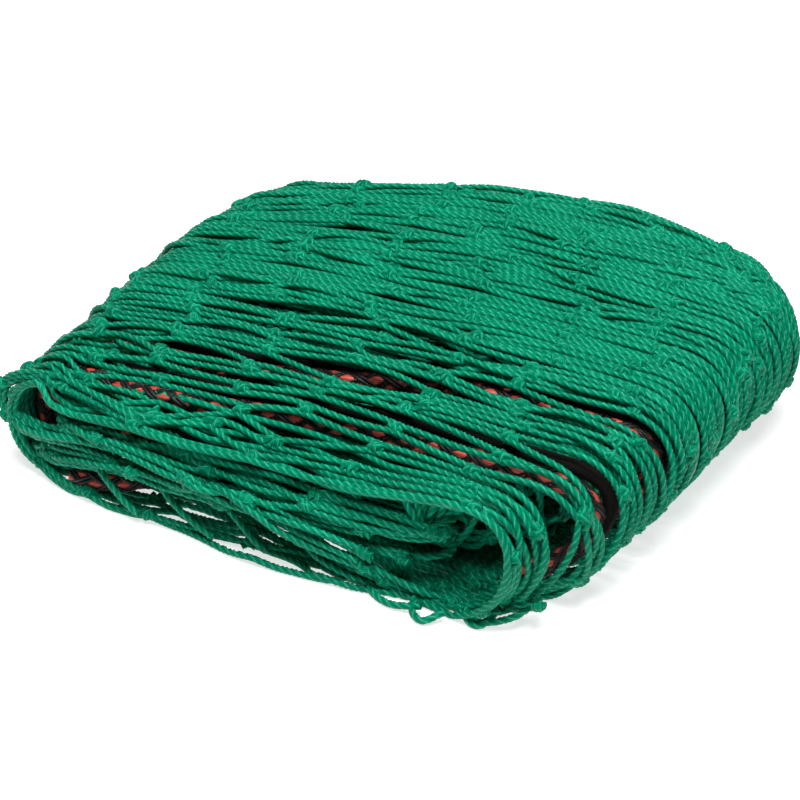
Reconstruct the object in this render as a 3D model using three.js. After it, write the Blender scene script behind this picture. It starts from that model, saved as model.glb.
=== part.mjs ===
// A trailer net folded flat for storage: one piece of knotted green netting, gathered until its
// strands lie side by side, folded back and forth, with its outer turn wrapped round the inner folds.
// The red and black border rope and the black elastic cord run under the outer turn.
// Millimetres, +X along the strands, +Y along the folds from the near end to the far end, +Z up.
import * as THREE from "three";
import { mergeVertices } from "three/addons/utils/BufferGeometryUtils.js";

// Driving dimensions
const WIDTH = 230; // the gathered net, from its near edge to its far edge
const SHEET = 3.2; // one layer of strands
const ROPE_DIAMETER = 8;
const ELASTIC_DIAMETER = 6;
const CLEARANCE = 0.65; // between a cord and the layer above or below it
const CORD_ROOM = ROPE_DIAMETER + 3 * CLEARANCE; // between the outer turn and the inner folds
const TUNNEL = 22; // hollow inside the right-hand fold, beside the inner folds
const LEFT_ROOM = 12; // the same on the left
const INNER_STEP = 6; // how much shorter the innermost fold is
const OUTER_END = 27; // the net's outer end lies this far in from the left-hand side, underneath
const INNER_END = 46; // and its inner end this far in
const DROP_START = 45; // the top slopes down to the left from this place on
const LEAN = 10; // the right-hand fold leans out by this much from its foot to its top
const LEAN_START = 30; // from this place on

// The lattice: bars of strands that meet at knots, in rows set half a mesh apart
const BARS = 20;
const ROW = 47; // from one row of knots to the next, along the net
const KNOT = 9; // length of a knot
const GAP = 8.4; // widest place of the lens-shaped gap between two bars
const SHORT_GAP = 0.6; // share of that beside a closed hem
const SLANT = 26; // a row of knots lies this much further along the net at its far edge
const WANDER = 5; // and strays by this much
const WANDER_ACROSS = 0.19; // radians of that wave for each millimetre across the net
const WANDER_ALONG = 0.011; // and along it
const SHOULDER = 0.9; // a bar's outer face is narrower than its root by this on each side
const RIPPLE = 0.66; // how far some bars stand out of the outer turn
const RIPPLE_WAVES = [
  { size: 1, across: 0.31, along: 1.7 },
  { size: 0.6, across: 0.83, along: 4 },
];

// Sections from the near end to the far end. share: place across the width, from -1 to 1. left, right
// and height: the sides and top of the outer turn. drop and rightDrop: how much lower its top is at the
// left-hand and the right-hand side.
const STATIONS = [
  { share: -1.0, left: -128, right: 108, height: 54, drop: 10, rightDrop: 0 },
  { share: -0.75, left: -131, right: 127, height: 58, drop: 12, rightDrop: 1 },
  { share: -0.4, left: -133, right: 133, height: 61, drop: 12, rightDrop: 2 },
  { share: 0.0, left: -136.5, right: 135.5, height: 64, drop: 13, rightDrop: 4 },
  { share: 0.4, left: -137, right: 136, height: 68, drop: 16, rightDrop: 8 },
  { share: 0.75, left: -129, right: 135, height: 70, drop: 18, rightDrop: 11 },
  { share: 1.0, left: -80, right: 112, height: 66, drop: 16, rightDrop: 11 },
];

// The layers in the order in which the net runs through them, from its outer end. rise: the layer's
// place among the inner folds, from 0 to 1, or null on the outer turn. turn: how far in from the
// bundle's side the fold after this layer lies. steps and foldSteps: into how many stretches an inner
// layer and the fold after it are divided.
const LAYERS = [
  { name: "bottom", rise: null, turn: 0 },
  { name: "top", rise: null, turn: 0 },
  { name: "lower", rise: 0, turn: SHEET + TUNNEL, steps: 5, foldSteps: 7 },
  { name: "upper", rise: 1, turn: SHEET + LEFT_ROOM, steps: 5, foldSteps: 6 },
  { name: "core_low", rise: 1 / 3, turn: 2 * SHEET + TUNNEL + INNER_STEP, steps: 4, foldSteps: 5 },
  { name: "core_high", rise: 2 / 3, turn: INNER_END, steps: 4, foldSteps: 0 },
];
const OUTER_LAYERS = 2;
const OUTER_RUNS = 4; // bottom, right-hand fold, top and left-hand fold

// Cords, as waypoints under the outer turn. run: 0 to 1 along the bottom, 1 to 2 up the right-hand
// fold, 2 to 3 back along the top, 3 to 4 down the left-hand fold. y: place across the width.
const ROPE_NEAR = [
  { run: 3.55, y: -84 },
  { run: 3.05, y: -91 },
  { run: 2.8, y: -96 },
  { run: 2.55, y: -91 },
  { run: 2.25, y: -83 },
  { run: 2.0, y: -80 },
  { run: 1.55, y: -76 },
  { run: 1.1, y: -83 },
  { run: 0.85, y: -90 },
];
const ROPE_FAR = [
  { run: 3.4, y: -62 },
  { run: 3.0, y: -66 },
  { run: 2.75, y: -70 },
  { run: 2.5, y: -60 },
  { run: 2.25, y: -42 },
  { run: 2.0, y: -38 },
  { run: 1.55, y: -32 },
  { run: 1.1, y: -38 },
  { run: 0.8, y: -44 },
];
const ELASTIC_BESIDE = 10; // the elastic runs beside the rope at this distance, on its far side
const CORD_STEPS = 36;
const CORD_SIDES = 10;
const FOLD_CLEARANCE = 1.6; // added to the clearance where a cord goes round a fold

const NET_LOOK = { color: 0x058a60, roughness: 0.45, metalness: 0 };
const ROPE_LOOK = { color: 0xb8483c, roughness: 0.5, metalness: 0 };
const ELASTIC_LOOK = { color: 0x1d1a19, roughness: 0.6, metalness: 0 };

// The section at a place across the width, between the rows of STATIONS
const columns = ["left", "right", "height", "drop", "rightDrop"];
const shares = STATIONS.map((row) => row.share);
const table = STATIONS.flatMap((row) => columns.map((name) => row[name]));
const spline = new THREE.CubicInterpolant(shares, table, columns.length);

function sectionAt(y) {
  const share = THREE.MathUtils.clamp((2 * y) / WIDTH, -1, 1);
  const [left, right, height, drop, rightDrop] = spline.evaluate(share);
  return { left, right, height, drop, rightDrop };
}

function topAt(section, x) {
  const leftward = THREE.MathUtils.clamp((DROP_START - x) / (DROP_START - section.left), 0, 1);
  const rightward = THREE.MathUtils.clamp(x / section.right, 0, 1);
  return section.height - section.drop * leftward ** 2 - section.rightDrop * rightward ** 2;
}

// Height of a layer's middle at x
function levelAt(section, layer, x) {
  const top = topAt(section, x) - SHEET / 2;
  if (layer.name === "bottom") return SHEET / 2;
  if (layer.name === "top") return top;
  const lower = SHEET + CORD_ROOM + SHEET / 2;
  const upper = top - SHEET - CORD_ROOM;
  return THREE.MathUtils.lerp(lower, upper, layer.rise);
}

// Where the fold after layer number i begins: its x, and the two heights that it joins. Layers run to
// the right and to the left by turns, and a fold is a half circle.
function foldAfter(section, i) {
  const toRight = i % 2 === 0;
  const side = toRight ? section.right - LAYERS[i].turn : section.left + LAYERS[i].turn;
  const inward = toRight ? -1 : 1;
  let x = side + inward * (SHEET / 2);
  let from = 0;
  let to = 0;
  for (let pass = 0; pass < 6; pass += 1) {
    from = levelAt(section, LAYERS[i], x);
    to = levelAt(section, LAYERS[i + 1], x);
    x = side + inward * (SHEET / 2 + Math.abs(to - from) / 2);
  }
  return { x, from, to, outward: -inward };
}

// Ends of layer number i, in the direction in which the net runs
function layerEnds(section, i) {
  const first = i === 0 ? section.left + OUTER_END : foldAfter(section, i - 1).x;
  const isLast = i === LAYERS.length - 1;
  const last = isLast ? section.left + INNER_END : foldAfter(section, i).x;
  return [first, last];
}

// A point of the folded section, once the right-hand fold leans out
function leaning(section, x, z) {
  const share = THREE.MathUtils.smoothstep(x, LEAN_START, section.right - TUNNEL);
  return new THREE.Vector2(x + LEAN * share * (z / section.height - 0.5), z);
}

// The middle line of the folded section. Run 2i is layer i and run 2i + 1 is the fold after it.
function middle(section, run, t) {
  const i = Math.floor(run / 2);
  if (run % 2 === 0) {
    const [first, last] = layerEnds(section, i);
    const x = THREE.MathUtils.lerp(first, last, t);
    return leaning(section, x, levelAt(section, LAYERS[i], x));
  }
  const fold = foldAfter(section, i);
  const angle = Math.PI * t;
  const reach = Math.abs(fold.to - fold.from) / 2;
  const x = fold.x + fold.outward * reach * Math.sin(angle);
  const z = (fold.from + fold.to) / 2 - ((fold.to - fold.from) / 2) * Math.cos(angle);
  return leaning(section, x, z);
}

// A point of the folded net: run and t along it, y across it, offset towards the outside of the turn
function foldedPoint({ run, t }, y, offset) {
  const section = sectionAt(y);
  const step = 0.01;
  const before = middle(section, run, Math.max(0, t - step));
  const after = middle(section, run, Math.min(1, t + step));
  const along = after.sub(before).normalize();
  const at = middle(section, run, t);
  return new THREE.Vector3(at.x + along.y * offset, y, at.y - along.x * offset);
}

// Places along the outer turn, by distance from the outer end, measured half way across the width
function outerTurn() {
  const section = sectionAt(0);
  const fine = 60;
  const places = [];
  let length = 0;
  for (let run = 0; run < OUTER_RUNS; run += 1) {
    for (let k = run === 0 ? 0 : 1; k <= fine; k += 1) {
      const t = k / fine;
      const point = middle(section, run, t);
      if (places.length) length += point.distanceTo(places.at(-1).point);
      places.push({ run, t, length, point });
    }
  }
  return places;
}

const outerPlaces = outerTurn();
const outerLength = outerPlaces.at(-1).length;

// Stations along the net: on the outer turn by distance, then by run. gaps: how far the gaps at even
// and at odd edges of the bars stand open there, from 0 to 1. Both hems of the outer turn are closed.
function stationsAlong() {
  const rows = Math.floor((outerLength - KNOT) / ROW);
  const pitch = (outerLength - KNOT) / rows;
  const steps = [0, KNOT, KNOT + (pitch - KNOT) / 3, KNOT + (2 * (pitch - KNOT)) / 3];
  const stations = [];
  for (let row = 0; row < rows; row += 1) {
    for (const step of steps) {
      const share = Math.max(0, (step - KNOT) / (pitch - KNOT));
      const opening = Math.sin((share * Math.PI) / 2);
      const closing = Math.cos((share * Math.PI) / 2);
      const short = 2 * opening * closing * SHORT_GAP;
      const gaps = [0, 0];
      gaps[row % 2] = row === rows - 1 ? short : opening;
      gaps[(row + 1) % 2] = row === 0 ? short : closing;
      stations.push({ distance: row * pitch + step, gaps });
    }
  }
  stations.push({ distance: outerLength - KNOT, gaps: [0, 0] });
  stations.push({ distance: outerLength, gaps: [0, 0] });
  for (let i = OUTER_LAYERS; i < LAYERS.length; i += 1) {
    const { steps: layerSteps, foldSteps } = LAYERS[i];
    for (let k = 1; k <= layerSteps; k += 1) {
      stations.push({ run: 2 * i, t: k / layerSteps, gaps: [0, 0] });
    }
    for (let k = 1; k <= foldSteps; k += 1) {
      stations.push({ run: 2 * i + 1, t: k / foldSteps, gaps: [0, 0] });
    }
  }
  return stations;
}

// The run and share of a station at y. The rows of knots slant and stray between the two hems.
function placeAt(station, y) {
  if (station.distance === undefined) return station;
  const free = Math.sin((Math.PI * station.distance) / outerLength);
  const wave = Math.sin(y * WANDER_ACROSS + station.distance * WANDER_ALONG);
  const distance = station.distance + free * ((SLANT * y) / WIDTH + WANDER * wave);
  const after = outerPlaces.findIndex((place) => place.length >= distance);
  const next = outerPlaces[Math.max(after, 1)];
  const last = outerPlaces[Math.max(after, 1) - 1];
  const share = THREE.MathUtils.clamp((distance - last.length) / (next.length - last.length), 0, 1);
  const begin = last.run === next.run ? last.t : 0;
  return { run: next.run, t: THREE.MathUtils.lerp(begin, next.t, share) };
}

// Some bars of the outer turn stand a little proud of it, away from the surface it rests on
function ripple({ run, t }, y) {
  if (run === 0 || run >= OUTER_RUNS) return 0;
  const fades = [0, Math.sin((t * Math.PI) / 2), 1, Math.cos((t * Math.PI) / 2)];
  const heights = RIPPLE_WAVES.map(({ size, across, along }) => size * Math.sin(y * across + t * along));
  const wave = heights.reduce((sum, height) => sum + height, 0);
  return RIPPLE * fades[run] * Math.max(0, wave);
}

// The corners of one bar's section: root left and right, then outer face left and right
function barCorners(station, bar) {
  const pitch = WIDTH / BARS;
  const corners = [];
  const edges = [bar, bar + 1].map((edge, side) => {
    const open = station.gaps[edge % 2];
    const inward = side === 0 ? 1 : -1;
    const root = (edge - BARS / 2) * pitch + (inward * open * GAP) / 2;
    return { root, face: root + inward * open * SHOULDER };
  });
  for (const edge of edges) {
    corners.push(foldedPoint(placeAt(station, edge.root), edge.root, -SHEET / 2));
  }
  for (const edge of edges) {
    const place = placeAt(station, edge.face);
    corners.push(foldedPoint(place, edge.face, SHEET / 2 + ripple(place, edge.face)));
  }
  return corners;
}

function closedGeometry(positions) {
  const geometry = new THREE.BufferGeometry();
  geometry.setAttribute("position", new THREE.Float32BufferAttribute(positions, 3));
  const merged = mergeVertices(geometry, 1e-3);
  merged.computeVertexNormals();
  return merged;
}

function makeNet() {
  const stations = stationsAlong();
  const positions = [];
  const quad = (a, b, c, d) => {
    for (const corner of [a, c, b, a, d, c]) positions.push(corner.x, corner.y, corner.z);
  };
  for (let bar = 0; bar < BARS; bar += 1) {
    const sections = stations.map((station) => barCorners(station, bar));
    for (let k = 0; k + 1 < stations.length; k += 1) {
      const [rootL, rootR, faceL, faceR] = sections[k];
      const [nextRootL, nextRootR, nextFaceL, nextFaceR] = sections[k + 1];
      quad(faceL, nextFaceL, nextFaceR, faceR);
      quad(rootL, rootR, nextRootR, nextRootL);
      const shut = (edge) => stations[k].gaps[edge % 2] === 0 && stations[k + 1].gaps[edge % 2] === 0;
      if (bar === 0 || !shut(bar)) quad(rootL, nextRootL, nextFaceL, faceL);
      if (bar === BARS - 1 || !shut(bar + 1)) quad(rootR, faceR, nextFaceR, nextRootR);
    }
    const [rootL, rootR, faceL, faceR] = sections[0];
    quad(rootL, faceL, faceR, rootR);
    const [endRootL, endRootR, endFaceL, endFaceR] = sections.at(-1);
    quad(endRootL, endRootR, endFaceR, endFaceL);
  }
  return closedGeometry(positions);
}

// A cord under the outer turn, along a smooth line through its waypoints
function makeCord(waypoints, diameter, shift) {
  const flat = new THREE.SplineCurve(waypoints.map((row) => new THREE.Vector2(row.run, row.y + shift)));
  const points = [];
  for (let k = 0; k <= CORD_STEPS; k += 1) {
    const { x: run, y } = flat.getPoint(k / CORD_STEPS);
    const whole = Math.min(Math.floor(run), OUTER_RUNS - 1);
    const t = run - whole;
    const bend = whole % 2 === 1 ? Math.sqrt(Math.sin(Math.PI * t)) : 0;
    const depth = SHEET / 2 + CLEARANCE + FOLD_CLEARANCE * bend + diameter / 2;
    points.push(foldedPoint({ run: whole, t }, y, -depth));
  }
  const outline = new THREE.Shape();
  outline.absarc(0, 0, diameter / 2, 0, 2 * Math.PI, false);
  return new THREE.ExtrudeGeometry(outline, {
    steps: CORD_STEPS,
    curveSegments: CORD_SIDES / 2,
    extrudePath: new THREE.CatmullRomCurve3(points),
  });
}

function named(name, geometry, look) {
  const mesh = new THREE.Mesh(geometry, new THREE.MeshStandardMaterial(look));
  mesh.name = name;
  return mesh;
}

const trailerNet = new THREE.Group();
trailerNet.add(named("net", makeNet(), NET_LOOK));
trailerNet.add(named("border_rope_near", makeCord(ROPE_NEAR, ROPE_DIAMETER, 0), ROPE_LOOK));
trailerNet.add(named("border_rope_far", makeCord(ROPE_FAR, ROPE_DIAMETER, 0), ROPE_LOOK));
const elasticNear = makeCord(ROPE_NEAR, ELASTIC_DIAMETER, ELASTIC_BESIDE);
const elasticFar = makeCord(ROPE_FAR, ELASTIC_DIAMETER, ELASTIC_BESIDE);
trailerNet.add(named("elastic_cord_near", elasticNear, ELASTIC_LOOK));
trailerNet.add(named("elastic_cord_far", elasticFar, ELASTIC_LOOK));

// The origin is the middle of the underside
const box = new THREE.Box3().setFromObject(trailerNet);
const centre = box.getCenter(new THREE.Vector3());
trailerNet.position.set(-centre.x, -centre.y, -box.min.z);

export default trailerNet;
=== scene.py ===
# A trailer net folded flat for storage: knotted green netting, gathered until its strands lie side by
# side and folded back and forth, with its outer turn wrapped round the inner folds. The red and black
# border rope and the black elastic cord run under the outer turn. Metres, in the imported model's frame.
import math

import bpy
import numpy as np
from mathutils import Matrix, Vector


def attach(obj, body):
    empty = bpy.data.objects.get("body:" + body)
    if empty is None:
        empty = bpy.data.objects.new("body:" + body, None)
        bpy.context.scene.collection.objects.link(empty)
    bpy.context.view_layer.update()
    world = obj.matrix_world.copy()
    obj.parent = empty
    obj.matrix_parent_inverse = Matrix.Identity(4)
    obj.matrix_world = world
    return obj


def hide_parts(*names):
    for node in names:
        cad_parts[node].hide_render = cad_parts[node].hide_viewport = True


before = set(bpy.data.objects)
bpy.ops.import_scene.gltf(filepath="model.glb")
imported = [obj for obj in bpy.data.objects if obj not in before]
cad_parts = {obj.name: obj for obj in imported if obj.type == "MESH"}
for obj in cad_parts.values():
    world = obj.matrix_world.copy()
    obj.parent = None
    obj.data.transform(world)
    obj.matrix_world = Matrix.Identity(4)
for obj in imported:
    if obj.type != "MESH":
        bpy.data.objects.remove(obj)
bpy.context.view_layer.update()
rng = np.random.default_rng(20)

# Camera, from the vanishing lines and the outline of the bundle
IMAGE = 800  # pixels
FOCAL = 2300  # pixels
SENSOR = 36  # millimetres
ELEVATION = math.radians(29.94)
AZIMUTH = math.radians(30.57)
DISTANCE = 0.966
AIM = Vector((0.0064, 0.0, 0.0))
AIM_PIXEL = (427.5, 433.6)  # where the aim shows in the image

# Sizes of the folded net, near those of the solids and fitted to the photograph
WIDTH = 0.230  # from the near edge to the far edge
SHEET = 0.0032  # one layer of strands
ROPE_DIAMETER = 0.008
ELASTIC_DIAMETER = 0.006
CLEARANCE = 0.00065
CORD_ROOM = ROPE_DIAMETER + 3 * CLEARANCE
TUNNEL = 0.022  # hollow inside the right-hand fold, at the near and the far end
TUNNEL_MOUTH = 0.045  # and right at its near mouth
CLOSE = -0.0005  # two layers where no cord runs: their strands lie a little into each other
LEFT_ROOM = 0.012  # hollow inside the left-hand fold, where the cords run
OUTER_END = 0.050  # the outer turn begins this far in from the left-hand side
INNER_END = 0.046  # and the last inner layer ends this far in
DROP_START = 0.045  # the top falls from here to the left-hand side
LEAN = 0.018  # the right-hand fold leans out by this much from its foot to its top
LEAN_START = 0.03
DIP_END = 0.085  # the lower inner layer lies on the bottom from the left-hand side to here

# Places across the width between which the rooms inside the section change
CORDS_END = (-0.016, 0.004)  # the room for the cords closes
MOUTH_NARROWS = (-0.095, -0.060)
TUNNEL_CLOSES = (-0.075, -0.035)
TUNNEL_OPENS = (0.085, 0.112)  # towards the far end

# Netting
TWINE = 0.0030
PLIES = 3
LAY = 0.0120  # length of one turn of a twine's plies
BAR = 0.040  # from one knot to the next along a strand
LANES = 58  # strands side by side
PITCH = WIDTH / LANES
BAR_STEPS = 8
SLANT = 0.32  # a row of knots lies this much further along the net for each metre towards the far edge

# Sections from the near end to the far end. share: place across the width, from -1 to 1. left, right
# and height: the sides and top of the outer turn. drop and right_drop: how much lower its top is at the
# left-hand and the right-hand side.
STATIONS = {
    "share": (-1.0, -0.75, -0.4, 0.0, 0.4, 0.75, 1.0),
    "left": (-0.1225, -0.1275, -0.132, -0.1370, -0.138, -0.124, -0.070),
    "right": (0.108, 0.127, 0.132, 0.1335, 0.134, 0.133, 0.111),
    "height": (0.054, 0.058, 0.061, 0.064, 0.068, 0.070, 0.070),
    "drop": (0.010, 0.012, 0.012, 0.013, 0.016, 0.018, 0.016),
    "right_drop": (0.0, 0.001, 0.002, 0.004, 0.010, 0.016, 0.021),
}

# Cords under the outer turn. run: 0 to 1 along the bottom, 1 to 2 up the right-hand fold, 2 to 3 back
# along the top, 3 to 4 down the left-hand fold. y: place across the width.
ROPE_NEAR = {
    "run": (3.55, 3.05, 2.8, 2.55, 2.25, 2.0, 1.55, 1.1),
    "y": (-0.084, -0.091, -0.096, -0.091, -0.083, -0.080, -0.076, -0.083),
}
ROPE_FAR = {
    "run": (3.4, 3.0, 2.75, 2.5, 2.25, 2.0, 1.55, 1.1),
    "y": (-0.062, -0.066, -0.070, -0.060, -0.042, -0.038, -0.032, -0.038),
}
ELASTIC_BESIDE = 0.010  # the elastic runs this far from its rope
FOLD_CLEARANCE = 0.0016  # more room for a cord in the bend of a fold


def make_camera():
    ahead = Vector((
        -math.sin(AZIMUTH) * math.cos(ELEVATION),
        math.cos(AZIMUTH) * math.cos(ELEVATION),
        -math.sin(ELEVATION),
    ))
    right = Vector((math.cos(AZIMUTH), math.sin(AZIMUTH), 0))
    up = right.cross(ahead)
    across = IMAGE / 2 - AIM_PIXEL[0]
    upward = AIM_PIXEL[1] - IMAGE / 2
    middle_ray = ahead * FOCAL + right * across + up * upward
    data = bpy.data.cameras.new("camera")
    data.sensor_width = SENSOR
    data.lens = SENSOR * FOCAL / IMAGE
    camera = bpy.data.objects.new("camera", data)
    camera.location = AIM - ahead * DISTANCE
    camera.rotation_euler = middle_ray.to_track_quat("-Z", "Y").to_euler()
    bpy.context.collection.objects.link(camera)
    bpy.context.scene.camera = camera


make_camera()


# The folded section, for arrays of places across the width

def smooth(at, rows, values):
    """A smooth curve through the rows of a table."""
    rows = np.asarray(rows, float)
    values = np.asarray(values, float)
    slopes = np.gradient(values, rows)
    i = np.clip(np.searchsorted(rows, at) - 1, 0, len(rows) - 2)
    span = rows[i + 1] - rows[i]
    t = np.clip((at - rows[i]) / span, 0, 1)
    rise = values[i + 1] - values[i]
    bend_in = slopes[i] * span - rise
    bend_out = rise - slopes[i + 1] * span
    return values[i] + t * rise + t * (1 - t) * ((1 - t) * bend_in + t * bend_out)


def eased(value, start, end):
    t = np.clip((value - start) / (end - start), 0, 1)
    return t * t * (3 - 2 * t)


LEAST_LENGTH = 1e-12  # keeps a length of zero from dividing


def unit(vectors):
    return vectors / (np.linalg.norm(vectors, axis=-1, keepdims=True) + LEAST_LENGTH)


def square_to(vectors, along):
    """The given directions, turned until they are square to others."""
    return unit(vectors - (vectors * along).sum(-1, keepdims=True) * along)


def arc_length(points):
    steps = np.linalg.norm(np.diff(points, axis=1), axis=2)
    return np.concatenate([np.zeros((len(points), 1)), np.cumsum(steps, axis=1)], axis=1)


def section_at(y):
    """Sides, top and inner rooms of the section at y. The cords run in the near part only."""
    share = 2 * y / WIDTH
    rows = STATIONS["share"]
    section = {name: smooth(share, rows, values) for name, values in STATIONS.items() if name != "share"}
    without_cords = eased(y, *CORDS_END)
    section["cord_room"] = CORD_ROOM + (CLOSE - CORD_ROOM) * without_cords
    cord_tunnel = CORD_ROOM + 2 * SHEET
    mouth = TUNNEL_MOUTH + (TUNNEL - TUNNEL_MOUTH) * eased(y, *MOUTH_NARROWS)
    tunnel = mouth + (cord_tunnel - mouth) * eased(y, *TUNNEL_CLOSES)
    tunnel = tunnel + (SHEET - tunnel) * without_cords
    section["tunnel"] = tunnel + (TUNNEL - tunnel) * eased(y, *TUNNEL_OPENS)
    section["left_room"] = LEFT_ROOM + (CLOSE - LEFT_ROOM) * without_cords
    return section


def top_at(section, x):
    leftward = np.clip((DROP_START - x) / (DROP_START - section["left"]), 0, 1)
    rightward = np.clip(x / section["right"], 0, 1)
    return section["height"] - section["drop"] * leftward**2 - section["right_drop"] * rightward**2


# Layers in the order in which the net runs: the bottom and top of the outer turn, then a lower and an
# upper inner layer, and hairpin folds between them. rise: place among the inner layers, from 0 to 1.
# inset: how much further in from the side the fold after the layer lies than the outermost inner fold.
# bulge: how far the layer's near edge stands out.
LAYER_TABLE = {
    "rise": (None, None, 0.0, 1.0, 0.14, 0.28, 0.42, 0.57, 0.71, 0.86),
    "inset": (None, None, 0.0, 0.0, 0.0065, 0.008, 0.0045, 0.012, 0.008, 0.0),
    "bulge": (0.002, 0.003, 0.004, -0.006, -0.012, -0.008, -0.014, -0.010, -0.014, -0.012),
}
RISES = LAYER_TABLE["rise"]
LAYERS = len(RISES)
BOTTOM = 0
TOP = 1
FIRST_INNER = 2
OUTER_RUNS = 4  # the outer turn's two layers and their folds
FOLD_ROUNDS = 6  # rounds in which the place and the height of a fold are brought together


def level_at(section, layer, x):
    top = top_at(section, x) - SHEET / 2
    if layer == BOTTOM:
        return np.full_like(top, SHEET / 2)
    if layer == TOP:
        return top
    on_bottom = SHEET * 1.5
    lower = on_bottom + CORD_ROOM
    upper = top - SHEET - section["cord_room"]
    if layer == FIRST_INNER:
        dip = on_bottom + CLOSE
        risen = eased(x, section["left"] + LEFT_ROOM, section["left"] + DIP_END)
        return dip + (lower - dip) * risen
    return lower + (upper - lower) * RISES[layer]


def fold_after(section, layer):
    """Where the half circle after a layer begins: x, the two heights, and the way it bulges."""
    to_right = layer % 2 == 0
    inward = -1 if to_right else 1
    side = section["right"] if to_right else section["left"]
    if layer >= FIRST_INNER:
        room = section["tunnel"] if to_right else section["left_room"]
        side = side + inward * (SHEET + room + LAYER_TABLE["inset"][layer])
    x = side + inward * SHEET / 2
    for _ in range(FOLD_ROUNDS):
        low = level_at(section, layer, x)
        high = level_at(section, layer + 1, x)
        x = side + inward * (SHEET / 2 + np.abs(high - low) / 2)
    return x, low, high, -inward


def layer_ends(section, layer):
    first = section["left"] + OUTER_END if layer == BOTTOM else fold_after(section, layer - 1)[0]
    is_last = layer == LAYERS - 1
    last = section["left"] + INNER_END if is_last else fold_after(section, layer)[0]
    return first, last


def middle_line(section, run, t):
    """Run 2i is layer i, and run 2i + 1 is the fold after it."""
    layer = run // 2
    if run % 2 == 0:
        first, last = layer_ends(section, layer)
        x = first + (last - first) * t
        z = level_at(section, layer, x)
    else:
        x, low, high, bulge = fold_after(section, layer)
        reach = np.abs(high - low) / 2
        x = x + bulge * reach * np.sin(np.pi * t)
        z = (low + high) / 2 - (high - low) / 2 * np.cos(np.pi * t)
    leaning = eased(x, LEAN_START, section["right"] - TUNNEL)
    return x + LEAN * leaning * (z / section["height"] - 0.5), z


# The net's surface as a grid of places: rows across the width, columns along the net

GRID_ROWS = 61
GRID_REACH = 1.08  # the grid reaches a little past the edges
LAYER_STEPS = 36
FOLD_STEPS = 18
JUST_INSIDE = 1.001  # keeps places inside the last cell of the grid


def right_anchored(section, run, t):
    """Share of a layer at which the net's share t lies, so that bars keep their length at the right."""
    centre = section_at(np.zeros(1))
    first, last = layer_ends(centre, run // 2)
    full = np.abs(last - first)
    first, last = layer_ends(section, run // 2)
    local = np.abs(last - first)
    runs_right = (run // 2) % 2 == 0
    from_right = 1 - t if runs_right else t
    distance = full * from_right - (full - local) * from_right**2
    share = distance / local
    return 1 - share if runs_right else share


def net_surface():
    ys = np.linspace(-1, 1, GRID_ROWS) * GRID_REACH * WIDTH / 2
    section = {name: column[:, None] for name, column in section_at(ys).items()}
    columns = []
    for run in range(2 * LAYERS - 1):
        steps = LAYER_STEPS if run % 2 == 0 else FOLD_STEPS
        t = np.linspace(0, 1, steps + 1)[None, (1 if run else 0):]
        share = right_anchored(section, run, t) if run % 2 == 0 else t
        columns.append(np.stack(middle_line(section, run, share + 0 * ys[:, None])))
    run_ends = np.cumsum([column.shape[2] for column in columns]) - 1
    x, z = np.concatenate(columns, axis=2)
    along_x = np.gradient(x, axis=1)
    along_z = np.gradient(z, axis=1)
    size = np.hypot(along_x, along_z)
    centre = GRID_ROWS // 2
    steps = np.hypot(np.diff(x[centre]), np.diff(z[centre]))
    length = np.concatenate([[0], np.cumsum(steps)])
    return {
        "ys": ys, "x": x, "z": z, "out_x": along_z / size, "out_z": -along_x / size,
        "length": length, "run_ends": length[run_ends],
    }


SURFACE = net_surface()
NET_LENGTH = SURFACE["length"][-1]
RUN_ENDS = SURFACE["run_ends"]  # distances along the net
OUTER_LENGTH = RUN_ENDS[OUTER_RUNS - 1]


def on_net(u, y, out):
    """Points at distance u along the net, y across it and out from its surface."""
    ys = SURFACE["ys"]
    row = np.clip((y - ys[0]) / (ys[1] - ys[0]), 0, len(ys) - JUST_INSIDE)
    column = np.interp(u, SURFACE["length"], np.arange(len(SURFACE["length"])))
    column = np.clip(column, 0, len(SURFACE["length"]) - JUST_INSIDE)
    i = row.astype(int)
    j = column.astype(int)
    a = row - i
    b = column - j

    def read(name):
        grid = SURFACE[name]
        near = grid[i, j] * (1 - b) + grid[i, j + 1] * b
        far = grid[i + 1, j] * (1 - b) + grid[i + 1, j + 1] * b
        return near * (1 - a) + far * a

    x = read("x") + read("out_x") * out
    z = read("z") + read("out_z") * out
    return np.stack([x, y, z], axis=-1)


def middle_x(u):
    """x at distance u along the net, in the middle of its width."""
    return np.interp(u, SURFACE["length"], SURFACE["x"][GRID_ROWS // 2])


# Strands: arrays of lanes across and stations along the net, with a knot at every BAR_STEPS-th station

KNOT_STRAY_ALONG = 0.0042
KNOT_STRAY_ACROSS = 0.0030
KNOT_RISE = 0.0034
BOW_ACROSS = 0.0030
BOW_OUT = 0.0026
ROW_WAVE = 0.0035  # a row of knots waves along the net by this much
ROW_WAVE_ACROSS = 45  # radians of the wave in a metre across
ROW_WAVE_TURN = 1.3  # and from one row to the next
KNOT_HALF = 0.60 * TWINE  # a strand's distance from the middle of its knot
SPREAD = 0.004  # strands lie wider apart towards the near end
FAN = 0.031  # the far strands lie this much nearer at the left-hand side than at FAN_START
FAN_START = 0.10
FAN_POWERS = (1.5, 2)  # how the fan grows across and leftward
NEAR_ROUND = 0.006  # the near strands lie this much further in at the left-hand side
ROUND_POWERS = (3, 4)
DRIFT = 0.003  # the net strays across by this much, so that the strands of two layers cross
DRIFT_LENGTH = 1.1
BULGE_WIDTH = 0.03  # how far in from its near edge a layer is drawn out
HOLLOW = 0.018  # how much further in the lowest two layers begin behind the foot
HOLLOW_LEFT = (-0.125, -0.095)  # x between which this grows
HOLLOW_RIGHT = (-0.01, 0.05)  # and fades
SAG = 0.010  # how far the near strands of the top hang down
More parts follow.
